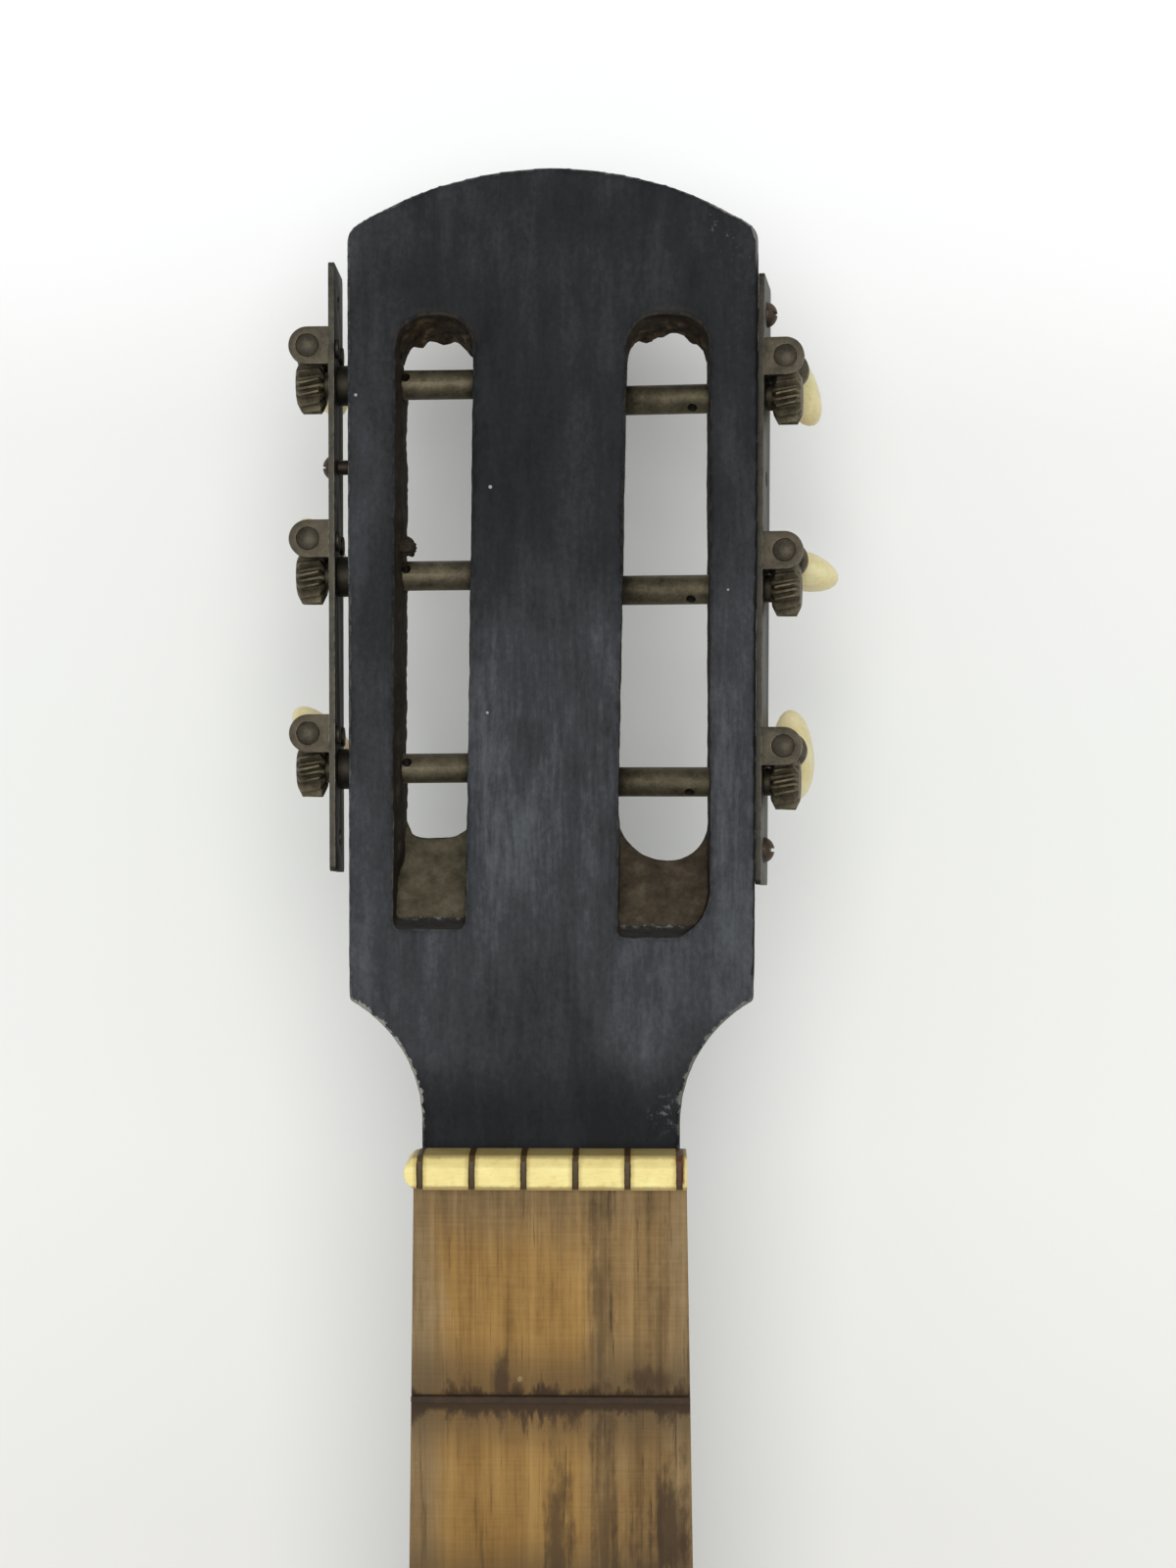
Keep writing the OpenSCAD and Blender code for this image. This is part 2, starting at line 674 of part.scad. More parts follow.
module worm(s, i) {
    pin_out = 0.6;
    dome_r = (pow(journal_r, 2) + pow(pin_out, 2)) / (2 * pin_out);
    core_r = worm_r - tooth_in;
    tail = -button_top + button_socket - fit;
    color([0.33, 0.29, 0.24]) at_machine(s, i) translate([worm_out, center_distance, 0]) {
        flipped(s) thread();
        translate([0, 0, -worm_end]) cylinder(h = 2 * worm_end, r = core_r);
        for (z = [-worm_end, worm_end - worm_collar]) translate([0, 0, z])
            cylinder(h = worm_collar, r = worm_collar_r);
        translate([0, 0, worm_end - 0.1]) cylinder(h = plate_w / 2 - worm_end + 0.1, r = journal_r);
        intersection() {
            translate([0, 0, plate_w / 2 + pin_out - dome_r]) sphere(dome_r);
            translate([0, 0, plate_w / 2 - 0.1]) cylinder(h = 2 * pin_out, r = journal_r);
        }
        translate([0, 0, -plate_w / 2 - pin_out])
            cylinder(h = plate_w / 2 + pin_out - worm_end + 0.1, r = journal_r);
        translate([0, 0, -tail]) cylinder(h = tail - worm_end, r = shaft_r);
    }
}

// A flattened oval knob whose edge takes the worm's shaft
module button(s, i) {
    collar = 2.4;
    turn = of_side(s, left_button_turn, right_button_turn)[i];
    color([0.9, 0.86, 0.66])
        at_machine(s, i) translate([worm_out, center_distance, button_top]) flipped(s) rotate(turn)
        difference() {
            loft([for (a = [180 : -11.25 : 0])
                let (swell = max(pow(sin(a), 0.75), 0.12), neck = collar * max(0, 1 - a / 45))
                [for (t = [0 : 15 : 345]) [
                    max(neck, button_t / 2 * swell) * cos(t),
                    max(neck, button_w / 2 * swell) * sin(t),
                    -button_l * (1 - cos(a)) / 2]]]);
            translate([0, 0, -button_socket]) cylinder(h = button_socket + 1, r = shaft_r + fit);
        }
}

// The toothed rim of the gear, with a gap between two teeth at +y
module gear_rim() {
    full = gear_w / 2 - gear_chamfer;
    tip_r = gear_r + tooth_out;
    root_r = gear_r - tooth_in;
    half_tip = (tooth_t / 2 - tooth_out * flank) / tip_r * 180 / PI;
    half_root = (tooth_t / 2 + tooth_in * flank) / root_r * 180 / PI;
    tooth = [[-half_root, root_r], [-half_tip, tip_r], [half_tip, tip_r], [half_root, root_r]];
    loft([for (x = [-gear_w / 2, -full, 0, full, gear_w / 2]) let (end = abs(x) > full)
        [for (k = [0 : gear_teeth - 1], corner = tooth)
            let (a = (k + 0.5) * 360 / gear_teeth + corner[0] - tooth_twist * x)
            let (r = end ? gear_end_r : corner[1])
            [x, r * cos(a), r * sin(a)]]]);
}

// The cone of a gear screw's head, widened by a clearance
module screw_cone(gap) {
    translate([gear_x + gear_w, 0, 0]) rotate([0, -90, 0])
        cylinder(h = gear_screw_head_r - gear_screw_r, r1 = gear_screw_head_r + gap, r2 = gear_screw_r + gap);
}

module gear(s, i) {
    bore = square_w + 2 * fit;
    color([0.36, 0.33, 0.24]) at_machine(s, i) difference() {
        union() {
            translate([worm_out, 0, 0]) flipped(s) gear_rim();
            rod(thrust_gap, gear_x + 0.5, hub_r);
        }
        translate([-1, -bore / 2, -bore / 2]) cube([2 * gear_w, bore, bore]);
        screw_cone(fit);
    }
}

module gear_screw(s, i) {
    color([0.3, 0.27, 0.22]) at_machine(s, i) difference() {
        union() {
            screw_cone(0);
            rod(square_x - gear_screw_l, square_x + 0.2, gear_screw_r);
        }
        translate([gear_x + gear_w - 0.5, -gear_screw_head_r - 1, -0.3])
            cube([1, 2 * gear_screw_head_r + 2, 0.6]);
    }
}

module roller(s, i) {
    color([0.4, 0.36, 0.28]) at_machine(s, i) difference() {
        union() {
            rod(-plate_t - roller_l, -plate_t - collar_l + 0.1, roller_r);
            rod(-plate_t - collar_l, -plate_t - run_gap, collar_r);
            rod(-plate_t - 0.2, thrust_gap, pivot_r);
            translate([0, -square_w / 2, -square_w / 2]) cube([square_x, square_w, square_w]);
        }
        translate([-plate_t - string_hole_x, 0, 0])
            rotate([of_side(s, left_hole_turn, right_hole_turn), 0, 0])
            translate([0, 0, -roller_r - 1]) cylinder(h = 2 * roller_r + 2, r = string_hole_r);
        rod(square_x - gear_screw_l - 0.3, square_x + 1, gear_screw_r + fit);
    }
}

module machine(s, i, kind) {
    if (kind == "bracket") bracket(s, i);
    if (kind == "worm") worm(s, i);
    if (kind == "button") button(s, i);
    if (kind == "gear") gear(s, i);
    if (kind == "gear_screw") gear_screw(s, i);
    if (kind == "roller") roller(s, i);
}

headstock();
neck_shaft();
fingerboard();
frets();
nut();
left_plate();
right_plate();
left_plate_screw();
right_plate_screws();
for (side = [0, 1], i = [0 : 2], kind = KINDS)
    machine(2 * side - 1, i, kind);
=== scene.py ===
"""An old guitar's neck with a slotted head, dressed for a studio picture."""
import json
import math
from contextlib import contextmanager

import bpy
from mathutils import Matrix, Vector, noise


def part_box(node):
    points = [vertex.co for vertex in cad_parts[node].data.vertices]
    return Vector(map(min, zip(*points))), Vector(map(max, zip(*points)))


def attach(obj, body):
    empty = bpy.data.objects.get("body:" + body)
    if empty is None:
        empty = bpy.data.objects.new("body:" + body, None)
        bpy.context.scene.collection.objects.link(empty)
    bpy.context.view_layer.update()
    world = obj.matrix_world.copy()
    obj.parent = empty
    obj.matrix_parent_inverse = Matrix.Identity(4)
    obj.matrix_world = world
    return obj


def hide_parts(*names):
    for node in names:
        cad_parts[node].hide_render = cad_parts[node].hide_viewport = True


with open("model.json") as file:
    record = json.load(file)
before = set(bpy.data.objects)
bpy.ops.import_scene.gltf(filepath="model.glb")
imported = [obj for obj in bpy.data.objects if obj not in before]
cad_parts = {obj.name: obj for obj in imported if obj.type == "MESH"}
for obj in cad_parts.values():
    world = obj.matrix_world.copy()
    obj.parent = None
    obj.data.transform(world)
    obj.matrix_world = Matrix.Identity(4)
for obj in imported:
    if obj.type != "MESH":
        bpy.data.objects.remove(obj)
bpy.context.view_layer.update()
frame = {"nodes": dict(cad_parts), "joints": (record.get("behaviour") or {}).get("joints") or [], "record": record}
RECORD = frame["record"]
JOINTS = {joint["name"]: joint for joint in frame["joints"]}

SIDES = ("left", "right")
PLACES = ("lower", "middle", "upper")

# A millimetre in Blender's metres; the sizes and places below are in millimetres
MM = 0.001
HEAD_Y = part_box("nut")[1].y / MM
NUT_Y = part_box("nut")[0].y / MM
SCALE_LENGTH = 652
FRETS_PER_OCTAVE = 12
FRET_HALF_WIDTH = 0.6
DIRT_BELOW_FRET = 0.65
BOARD_HALF_WIDTH = 23.15
BOARD_WIDENING = 0.0172
STRING_PITCH = 8.75
NUT_BLOCKS_END = 22.9

# The head leans back, and the keys' axes stand square on it
KEY_AXIS = JOINTS["left_lower_key_turn"]["axis"]
HEAD_ANGLE = math.atan2(KEY_AXIS[1], KEY_AXIS[2])
HEAD_SINE = math.sin(HEAD_ANGLE)
HEAD_COSINE = math.cos(HEAD_ANGLE)

# Places on the head: to the side, up along it from the nut, and below its face
HEAD_SIDE = 34
HEAD_DEPTH = 15
SLOTS_ACROSS = (10.5, 29)
SLOTS_ALONG = (32, 150)
SLOT_MIDDLE = 20.3
SLOT_END = 144.2
STRIP_ALONG = (28, 156)
RAMP_FOOT = {"left": 37.1, "right": 35.7}
RAMP_TOP = 62
HOLLOW_CENTRE = (46.05, 4.14)
HOLLOW_RADIUS = 23.9
RUBBED_CORNER = (33, 160)
SCUFFED_PLACE = (20.5, 6)

# Specks of dust on the head: to the side, up along it, and radius
DUST = ((-10.7, 114, 0.4), (-11.1, 74.7, 0.3), (-34.2, 130.2, 0.35), (30.5, 96, 0.25))
# Dark patches on the board: their middle, half their width and length, and how dark
STAINS = (
    (1.2, 258, 2.6, 22, 0.75),
    (20.5, 266, 3.6, 13, 0.85),
    (17, 250, 8, 16, 0.8),
    (9, 266, 2.2, 26, 0.55),
    (-8.6, 292, 1.8, 6, 0.85),
    (18, 293, 4.2, 2.6, 0.75),
    (8.5, 304, 2.4, 22, 0.5),
    (18.5, 304, 2, 14, 0.4),
)

# How far the edges of each kind of piece are rounded off, and in how many steps
EDGES = {
    "headstock": (0.4, 2),
    "neck_shaft": (0.5, 2),
    "fingerboard": (0.18, 2),
    "frets": (0.3, 3),
    "nut": (0.45, 3),
    "plate": (0.15, 2),
    "plate_screw": (0.1, 2),
    "bracket": (0.22, 2),
    "worm": (0.05, 2),
    "gear": (0.08, 2),
    "gear_screw": (0.06, 2),
    "roller": (0.15, 2),
    "button": (0.05, 1),
}
SHARP_EDGE_DEG = 35
FLAT_JOINT_DEG = 0.5
BEVEL_PROFILE = 0.6
SAME_PLACE = 0.002
SLIVER = 0.001

# Wear on the head: its even mesh, the share of faces kept afterwards, and how far its sides move
WEAR_GRID = 0.6
FACES_KEPT = 0.6
WALL_LEAN = 0.9
STRIP_SEAT = 0.1
LUG_PLACE = (-26, 104.2, 5.2)
LUG_SIZE = (2.3, 1.6, 2.6)
# The nut's grooves close up within a reach of their middle, and the rollers get a little room
GROOVE_REACH = 1.1
GROOVE_CLOSING = 0.4
ROLLER_ROOM = 0.08

# The camera of the photograph, the light and the floor
CAMERA_AT = (14.494, 423.259, 417.221)
CAMERA_TURN_DEG = (-4.009, 1.098, -0.09)
CAMERA_LENS = 56.74
CAMERA_SENSOR = 36
CAMERA_NEAREST = 10
CEILING_WAY = (-25, -110, -1000)
CEILING_STRENGTH = 1.95
CEILING_SOFTNESS_DEG = 46
ROOM_LIGHT = (0.97, 0.985, 1.0, 1)
ROOM_STRENGTH = 0.44
FLOOR_Z = -88.2
FLOOR_SIZE = 60000
PAPER_START_Y = 230
PAPER_LENGTH = 320
PAPER_MIDDLE_Y = 400


# Colours


def linear(share):
    """A share of a screen's full brightness, as a share of its light."""
    return share / 12.92 if share <= 0.04045 else ((share + 0.055) / 1.055) ** 2.4


def rgb(red, green, blue):
    """A colour as an eye sees it on a screen, from 0 to 255, in the renderer's own terms."""
    return (linear(red / 255), linear(green / 255), linear(blue / 255), 1.0)


# Paint on the head, and the bare wood in its slots
PAINT = ((0.08, rgb(16, 17, 19)), (0.34, rgb(32, 34, 36)), (0.6, rgb(53, 55, 58)), (1.0, rgb(90, 93, 96)))
PAINT_DRIP = rgb(24, 25, 27)
PAINT_DUST = rgb(168, 170, 172)
PAINT_SCUFF = rgb(136, 138, 140)
PAINT_RUBBED = rgb(148, 146, 138)
# Painted shade, with some dirt, in the seam where the right strip meets the head
STRIP_SEAM_SHADE_AND_DIRT = rgb(16, 15, 13)
SLOT_WALL = ((0.3, rgb(26, 23, 19)), (0.55, rgb(48, 42, 34)), (0.8, rgb(80, 70, 54)))
SLOT_TORN = ((0.35, rgb(24, 20, 15)), (0.55, rgb(62, 52, 38)), (0.8, rgb(126, 110, 84)))
SLOT_DIRT = rgb(56, 46, 38)
LEFT_RAMP = ((0.28, rgb(58, 52, 40)), (0.5, rgb(82, 76, 60)), (0.75, rgb(106, 100, 82)))
RIGHT_RAMP = ((0.28, rgb(46, 39, 31)), (0.5, rgb(70, 61, 49)), (0.75, rgb(94, 84, 69)))
BANK = rgb(50, 49, 48)
BANK_CRUMB = rgb(130, 128, 122)

# Stain on the shaft, and the wood of the board
STAIN_DARK = ((0.3, rgb(30, 27, 26)), (0.75, rgb(50, 45, 41)))
STAIN_BARE = ((0.3, rgb(66, 49, 36)), (0.75, rgb(104, 80, 57)))
STAIN_EDGE = rgb(126, 101, 73)
BOARD_GOLDEN = ((0.4, rgb(118, 87, 44)), (0.5, rgb(151, 116, 63)), (0.6, rgb(170, 135, 78)))
BOARD_GREY = ((0.4, rgb(90, 73, 49)), (0.5, rgb(126, 104, 71)), (0.6, rgb(150, 127, 90)))
BOARD_PORE = rgb(86, 64, 39)
BOARD_LINE = rgb(64, 48, 31)
BOARD_LOWER = rgb(100, 70, 26)
BOARD_STAIN = rgb(64, 49, 33)
BOARD_PATCH = rgb(76, 57, 36)
BOARD_KNOCK = rgb(186, 160, 116)
FRET_HAZE = rgb(84, 67, 46)
FRET_DIRT = rgb(52, 38, 25)

# Bone where it is pale, deep and dirty
NUT_BONE = (rgb(247, 233, 160), rgb(233, 213, 137), rgb(194, 162, 94))
NUT_BEVEL = rgb(190, 168, 108)
NUT_FAR_EDGE = rgb(116, 94, 52)
NUT_NEAR_EDGE = rgb(124, 95, 52)
# Painted shade that makes the nut's blocks look pillowed
NUT_PILLOW_SHADE = rgb(150, 120, 66)
NUT_GROOVE = rgb(58, 40, 12)
NUT_CHIP = rgb(84, 48, 24)
BUTTON_BONE = (rgb(234, 222, 174), rgb(210, 194, 136), rgb(172, 148, 92))
BUTTON_CREVICE = rgb(120, 100, 62)

# Metals where their film is dark, where it is light, and where they are rubbed bright
METALS = {
    "fret": (rgb(44, 32, 20), rgb(68, 50, 32), rgb(98, 76, 48)),
    "left_strip": (rgb(44, 42, 36), rgb(78, 75, 64), rgb(132, 127, 109)),
    "right_strip": (rgb(38, 36, 30), rgb(66, 63, 54), rgb(108, 103, 88)),
    "bracket": (rgb(51, 46, 37), rgb(86, 79, 65), rgb(142, 132, 107)),
    "worm": (rgb(48, 44, 37), rgb(86, 79, 65), rgb(140, 130, 104)),
    "gear": (rgb(64, 58, 46), rgb(110, 101, 79), rgb(172, 161, 128)),
    "screw": (rgb(54, 44, 36), rgb(88, 74, 60), rgb(128, 112, 92)),
    "roller": (rgb(60, 54, 42), rgb(108, 100, 79), rgb(164, 154, 124)),
}
# What else sets a metal apart from the rest
METAL_TRAITS = {
    "fret": {"roughness": 0.7, "metallic": 0.1, "rub": 0.5},
    "gear": {"film_size": 1.5, "rub": 0.55},
    # The rollers get painted shade, with some dirt, where they stand out beyond the head's side
    "roller": {"dark_beyond": HEAD_SIDE},
}
METAL_SPOT = rgb(38, 34, 27)
# Painted shade, with grime, in the metals' hollows
METAL_CREVICE_GRIME_AND_SHADE = rgb(26, 23, 18)
# Painted shade, with some dirt, on the parts of the rollers beyond the head's side
METAL_SHADED_END = rgb(36, 33, 27)

# The floor, from the near end of the picture to the far end, and what lies beyond it, with a painted pool of
# light: darker at the near end and whitest just beyond the head
PAPER_LIGHT_POOL = (
    (0.0, rgb(235, 234, 229)),
    (0.25, rgb(241, 241, 237)),
    (0.5, rgb(240, 241, 237)),
    (0.72, rgb(243, 243, 240)),
    (0.88, rgb(255, 255, 255)),
)
BACKDROP = rgb(242, 244, 241)


# Surfaces


class Value:
    """A number that varies over a surface and takes part in plain arithmetic."""

    def __init__(self, nodes, socket):
        self.nodes = nodes
        self.socket = socket

    def math(self, operation, *others):
        return self.nodes.math(operation, self, *others)

    def __add__(self, other):
        return self.math("ADD", other)

    def __mul__(self, other):
        return self.math("MULTIPLY", other)

    def __sub__(self, other):
        return self.math("SUBTRACT", other)

    def __truediv__(self, other):
        return self.math("DIVIDE", other)

    def __radd__(self, other):
        return self + other

    def __rmul__(self, other):
        return self * other

    def __rsub__(self, other):
        return self.nodes.math("SUBTRACT", other, self)

    def __rtruediv__(self, other):
        return self.nodes.math("DIVIDE", other, self)

    def __abs__(self):
        return self.math("ABSOLUTE")

    def larger(self, other):
        return self.math("MAXIMUM", other)

    def rise(self, low, high):
        """0 below low, 1 above high, and a soft step between them."""
        sockets = {"Value": self, "From Min": low, "From Max": high}
        return self.nodes.make("MapRange", {"interpolation_type": "SMOOTHSTEP"}, sockets)

    def fall(self, low, high):
        """1 below low, 0 above high."""
        return 1 - self.rise(low, high)

    def between(self, low, high, ease):
        """1 between low and high, with a soft step just inside each."""
        return self.rise(low, low + ease) * self.fall(high - ease, high)


class Nodes:
    """The nodes of a material or of the world, under construction."""

    def __init__(self, owner):
        owner.use_nodes = True
        self.tree = owner.node_tree
        self.tree.nodes.clear()

    def make(self, kind, settings=(), sockets=(), out=0):
        """Adds a node, sets it up, feeds its sockets, and gives back one of its outputs."""
        node = self.tree.nodes.new("ShaderNode" + kind)
        for name, value in dict(settings).items():
            if name == "stops":
                self.set_stops(node.color_ramp.elements, value)
            else:
                setattr(node, name, value)
        for name, value in dict(sockets).items():
            if isinstance(value, Value):
                self.tree.links.new(value.socket, node.inputs[name])
            else:
                node.inputs[name].default_value = value
        return Value(self, node.outputs[out]) if node.outputs else None

    @staticmethod
    def set_stops(elements, stops):
        while len(elements) < len(stops):
            elements.new(1.0)
        for element, (position, colour) in zip(elements, stops):
            element.position = position
            element.color = colour

    def math(self, operation, *values):
        return self.make("Math", {"operation": operation}, dict(enumerate(values)))


class Finish(Nodes):
    """A material with places on the surface in millimetres."""

    def __init__(self, name):
        self.material = bpy.data.materials.new(name)
        super().__init__(self.material)
        at = self.make("TexCoord", out="Object")
        self.place = self.make("VectorMath", {"operation": "SCALE"}, {0: at, "Scale": 1 / MM})
        self.x, self.y, self.z = self.split(self.place)

    def distance(self, x, y):
        """How far a place is from another that lies off by x and y."""
        return self.math("SQRT", x * x + y * y)

    def split(self, vector):
        node = self.make("SeparateXYZ", (), {0: vector}).socket.node
        return [Value(self, output) for output in node.outputs]

    def mix(self, share, one, other):
        """One colour where share is 0 and the other where it is 1."""
        return self.make("Mix", {"data_type": "RGBA"}, {0: share, 6: one, 7: other}, out=2)

    def ramp(self, value, stops):
        """A colour that changes with a value, by stops of a position and a colour."""
        return self.make("ValToRGB", {"stops": stops}, {0: value})

    def scaled(self, scale, shift):
        """Places on the surface, scaled and shifted for a texture."""
        return self.make("Mapping", (), {"Vector": self.place, "Location": (shift,) * 3, "Scale": scale})

    def noise(self, size, stretch=(1, 1, 1), detail=4, roughness=0.55, shift=0):
        """Cloudy noise in blotches about size wide, and longer by stretch along each axis."""
        at = self.scaled([1 / size / longer for longer in stretch], shift)
        sockets = {"Vector": at, "Scale": 1, "Detail": detail, "Roughness": roughness}
        return self.make("TexNoise", (), sockets)

    def specks(self, spacing, radius, shift=0):
        """Sparse round dots, 1 at their middle, with a radius in shares of their spacing."""
        at = self.scaled((1 / spacing,) * 3, shift)
        off_middle = self.make("TexVoronoi", (), {"Vector": at, "Scale": 1, "Randomness": 1})
        return off_middle.fall(radius * 0.6, radius)

    def edges(self, radius):
        """1 along sharp edges, fading to 0 about a radius away."""
        rounded = self.make("Bevel", {"samples": 6}, {"Radius": radius * MM})
        plain = self.make("NewGeometry", out="Normal")
        facing = self.make("VectorMath", {"operation": "DOT_PRODUCT"}, {0: rounded, 1: plain}, out="Value")
        return (1 - facing).rise(0.01, 0.25)

    def crevices(self, reach):
        """1 in hollows that little light reaches, 0 in the open."""
        openness = self.make("AmbientOcclusion", {"samples": 8}, {"Distance": reach * MM}, out="AO")
        return openness.fall(0.25, 0.85)

    def bump(self, height, depth):
        return self.make("Bump", (), {"Height": height, "Distance": depth * MM}, out="Normal")

    def surface(self, colour, roughness, normal=None, metallic=0.0, constants=()):
        """Ends the material with a shader; constants are its sockets that stay the same all over."""
        sockets = {"Base Color": colour, "Roughness": roughness, "Metallic": metallic, **dict(constants)}
        if normal:
            sockets["Normal"] = normal
        self.make("OutputMaterial", (), {"Surface": self.make("BsdfPrincipled", (), sockets)})
        return self.material


# The head's finish


class HeadFinish(Finish):
    """A material with places on the head, which way they face, and the marks that its layers share."""

    def __init__(self, name):
        super().__init__(name)
        beyond_nut = self.y - HEAD_Y
        self.along = beyond_nut * HEAD_COSINE - self.z * HEAD_SINE
        self.depth = beyond_nut * -HEAD_SINE - self.z * HEAD_COSINE
        _, normal_y, normal_z = self.split(self.make("TexCoord", out="Normal"))
        self.facing_front = normal_y * HEAD_SINE + normal_z * HEAD_COSINE
        self.on_edge = self.facing_front.rise(0.12, 0.3) * self.facing_front.fall(0.8, 0.96)
        self.brushed = self.noise(0.9, (1, 70, 1), detail=4, roughness=0.6)
        self.smudges = self.noise(17, (1, 1.8, 1), detail=6, roughness=0.62)
        self.grain = self.noise(0.7, (1, 12, 1), detail=4)
        self.grime = self.noise(3.4, detail=6, roughness=0.7)


def paint_tone_and_sheen(head):
    """How pale the paint is: smudges and brush marks, with a painted sheen between the slots' lower ends that
    reaches onto the right stile.
    """
    along = head.along
    bands = head.noise(5, (1, 14, 1), detail=4, shift=31)
    blots = head.noise(6, (1, 2.5, 1), detail=5, roughness=0.6, shift=7)
    speckled = head.noise(0.8, (1, 1.6, 1), detail=4, roughness=0.7, shift=15)
    # The sheen is a painted highlight: a paler band where the paint would catch the light
    sheen = along.rise(8, 62) * along.fall(58, 122) * abs(head.x - 7).fall(14, 48)
    tone = 0.29 + (head.smudges - 0.5) * 0.75 + (blots - 0.5) * 0.4
    tone = tone + (bands - 0.5) * 0.5 + (speckled - 0.5) * 0.4
    tone = tone + (head.brushed - 0.5) * (0.15 + sheen * 0.5) + sheen * 0.32
    # The paler right stile is more of the painted sheen
    right_stile_sheen = head.x.rise(26, 30) * along.fall(110, 160) * 0.14
    left_stile = head.x.fall(-31, -27) * 0.1 + head.x.fall(-34, -30) * along.rise(28, 36) * 0.09
    by_nut = along.rise(5, 16) * along.fall(22, 64) * 0.2 - along.fall(4, 20) * 0.12
    by_top = along.rise(140, 156) * 0.06 - along.rise(98, 122) * along.fall(130, 156) * 0.06
    return tone + right_stile_sheen + left_stile + by_nut + by_top


def dusty_paint(head):
    """The paint's colour with its painted sheen, with dark drips, specks of dust and a scuffed place."""
    paint = head.ramp(paint_tone_and_sheen(head), PAINT)
    drips = head.noise(3.2, (1, 14, 1), detail=4, shift=21).rise(0.6, 0.72) * head.along.fall(20, 60)
    paint = head.mix(drips * 0.45, paint, PAINT_DRIP)
    on_front = head.facing_front.rise(0.5, 0.9)
    for x, along, radius in DUST:
        speck = head.distance(head.x - x, head.along - along).fall(radius * 0.5, radius) * on_front
        paint = head.mix(speck * 0.8, paint, PAINT_DUST)
    scuffed = head.distance(head.x - SCUFFED_PLACE[0], head.along - SCUFFED_PLACE[1]).fall(1, 5)
    scuffs = scuffed * head.noise(1.0, detail=5, roughness=0.7).rise(0.54, 0.66)
    return head.mix(scuffs * 0.4, paint, PAINT_SCUFF)


def slot_walls(head):
    """Dark walls, with torn wood at the slots' upper ends."""
    walls = head.ramp(head.grime * 0.8 + head.grain * 0.2, SLOT_WALL)
    torn = head.ramp(head.noise(2.2, detail=6), SLOT_TORN)
    at_end = head.along.rise(SLOT_END - 7, SLOT_END - 4) * head.depth.rise(2, 6)
    return head.mix(at_end, walls, torn)


def slot_ramps(head):
    """Olive and brown string ramps, with a steep chipped bank at the foot of each."""
    on_right = head.x.rise(-1, 1)
    ramps = head.mix(on_right, head.ramp(head.grime, LEFT_RAMP), head.ramp(head.grime, RIGHT_RAMP))
    foot = on_right * (RAMP_FOOT["right"] - RAMP_FOOT["left"]) + RAMP_FOOT["left"]
    ragged = head.noise(1.1, detail=6, roughness=0.7)
    bank = (head.along - foot - ragged * 1.6).fall(1.2, 1.9)
    crumbs = (head.along - foot - ragged * 2.2).rise(0.3, 0.8) * bank * ragged.rise(0.5, 0.62)
    return head.mix(bank, ramps, head.mix(crumbs * 0.7, BANK, BANK_CRUMB))


def inside_slots(head):
    """1 on the bare wood in the slots, which starts raggedly a little below the head's face."""
    across = abs(head.x).between(SLOTS_ACROSS[0], SLOTS_ACROSS[1], 0.3)
    along = head.along.between(SLOTS_ALONG[0], SLOTS_ALONG[1] + 1, 1)
    below_face = (head.depth + head.grime * 0.5).rise(0.5, 0.8)
    return across * along * below_face * head.depth.fall(HEAD_DEPTH - 0.5, HEAD_DEPTH - 0.2)


def slot_end_dirt(head):
    """1 in the dirt round the upper ends of the slots."""
    to_end = head.distance(abs(head.x) - SLOT_MIDDLE, (head.along - SLOT_END + 7.5) * 0.95)
    ragged = to_end - head.noise(2.2, detail=5) * 3
    return ragged.fall(5.6, 7.4) * (head.along - SLOT_END).rise(-6, -2)


def rubbed_off(head, by_strip):
    """Where paint is rubbed off: outer edges, the hollows under the shoulders most, and one corner."""
    along = head.along
    chips = head.noise(1.7, detail=6, roughness=0.72)
    by_slot = abs(head.x).between(9, 30.5, 1) * along.between(30, 150, 2)
    edges = head.on_edge * chips.rise(0.42, 0.58) * (0.3 - by_slot * 0.22) * (1 - by_strip)
    inside = head.distance(abs(head.x) - HOLLOW_CENTRE[0], along - HOLLOW_CENTRE[1]) - HOLLOW_RADIUS
    hollow = (inside - (chips - 0.4) * 3.4).fall(0, 0.35) * along.rise(2, 6) * along.fall(25.5, 27)
    hollow = hollow * head.facing_front.rise(0.1, 0.3) * (1 - head.x.rise(-5, 5) * 0.5)
    at_corner = head.distance(head.x - RUBBED_CORNER[0], along - RUBBED_CORNER[1]).fall(4, 9)
    corner = at_corner * (head.on_edge + chips.rise(0.6, 0.66) * 0.6)
    return edges.larger(hollow).larger(corner * 0.7)


def black_paint():
    """Thin black paint, brushed along the head and worn at its edges, with a painted sheen, painted shade in the
    right strip's seam, and bare wood in its slots.
    """
    head = HeadFinish("black_paint")
    in_slot = inside_slots(head)
    on_ramp = head.facing_front.rise(0.3, 0.55) * head.along.fall(RAMP_TOP, RAMP_TOP + 4)
    bare_wood = head.mix(on_ramp, slot_walls(head), slot_ramps(head))
    colour = head.mix(in_slot, dusty_paint(head), bare_wood)
    colour = head.mix(slot_end_dirt(head) * (1 - in_slot) * 0.45, colour, SLOT_DIRT)
    by_strip = head.x.rise(30, 32) * head.along.between(STRIP_ALONG[0], STRIP_ALONG[1], 2)
    # A dark line along the right strip: painted shade in the seam, with some dirt
    colour = head.mix(head.on_edge * by_strip * 0.85, colour, STRIP_SEAM_SHADE_AND_DIRT)
    rubbed = rubbed_off(head, by_strip) * (1 - in_slot)
    colour = head.mix(rubbed * 0.85, colour, PAINT_RUBBED)
    roughness = 0.44 + head.smudges * 0.2 + in_slot * 0.3 + rubbed * 0.15
    height = head.brushed * 0.25 + head.noise(0.4, detail=3) * 0.2
    height = height + in_slot * (head.grain + head.grime * 2) * 0.9
    return head.surface(colour, roughness, head.bump(height, 0.14), constants={"Specular IOR Level": 0.1})


# The shaft's and the board's finishes


